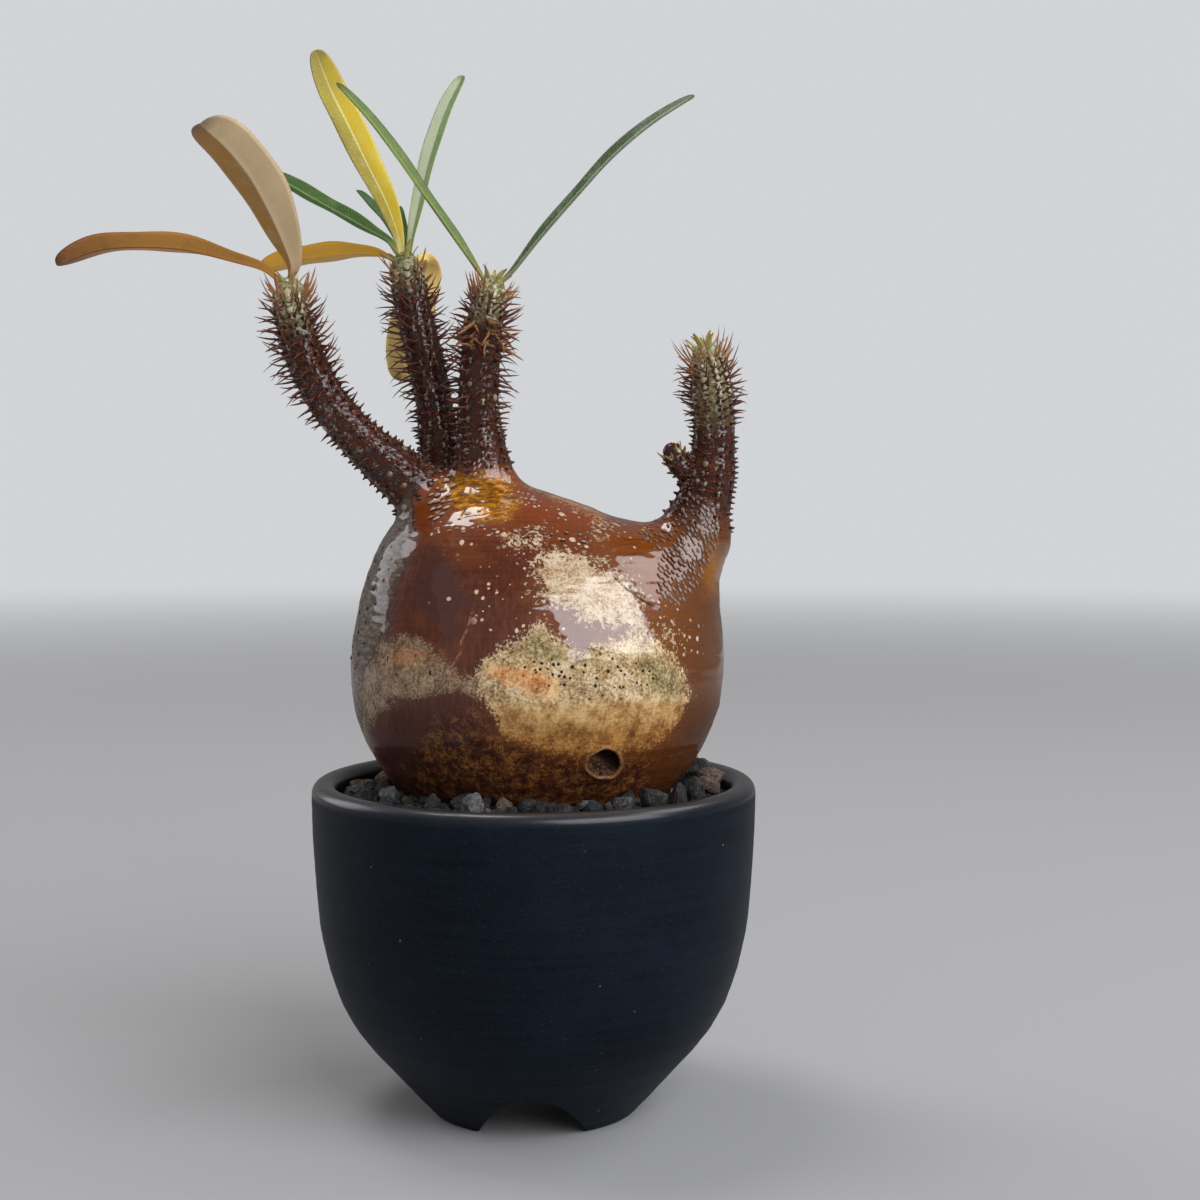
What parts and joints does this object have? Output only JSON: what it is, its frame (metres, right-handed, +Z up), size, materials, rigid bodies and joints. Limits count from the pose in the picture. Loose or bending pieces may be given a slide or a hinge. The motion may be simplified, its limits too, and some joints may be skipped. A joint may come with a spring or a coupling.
{
  "type": "potted pachypodium",
  "caption": "Caudex succulent with a glossy swollen trunk, spiny upright stems and narrow leaves, in a footed matt stoneware bowl pot filled with lava mix.",
  "frame": {"origin": "bottom centre of the whole object's bounding box, on the surface the pot stands on; the pot's own axis stands 28.2 mm along +X from it, because the left leaves reach far out", "axes": "+Z up; -Y towards the front of the plant, where the branch scar and one arch of the foot are; +X towards the single short stem"},
  "size_m": [0.1618, 0.1054, 0.2501],
  "materials": {
    "stoneware": "matt blue-black stoneware with fine pale specks and a soft sheen on the rim",
    "screen_plastic": "plain matt plastic",
    "potting_mix": "rough dark lava with a few pale and reddish stones",
    "trunk_bark": "glossy brown bark with cream mottling, tan bands and peeling silver skin",
    "stem_skin": "dark maroon-brown skin with waxy silver patches and reddish-brown spines",
    "leaf_amber": "satin, ageing amber leaf",
    "leaf_tan": "matt, ageing tan leaf with a pale midrib",
    "leaf_yellow": "satin yellow leaf with a pale midrib",
    "leaf_pale": "satin pale green leaf with a broad pale midrib",
    "leaf_green": "satin dark green leaf with a pale midrib"
  },
  "bodies": {
    "root": {"pot": "stoneware", "pot_foot": "stoneware", "drain_screen": "screen_plastic", "soil": "potting_mix", "caudex": "trunk_bark", "branch_left": "stem_skin", "branch_back": "stem_skin", "branch_middle": "stem_skin", "branch_right": "stem_skin", "leaf_left_low": "leaf_amber", "leaf_left_broad": "leaf_tan", "leaf_back_amber": "leaf_amber", "leaf_back_dark": "leaf_green", "leaf_back_yellow": "leaf_yellow", "leaf_back_pale": "leaf_pale", "leaf_back_short": "leaf_green", "leaf_back_young": "leaf_green", "leaf_back_hanging": "leaf_yellow", "leaf_middle_left": "leaf_green", "leaf_middle_right": "leaf_green"}
  },
  "joints": []
}
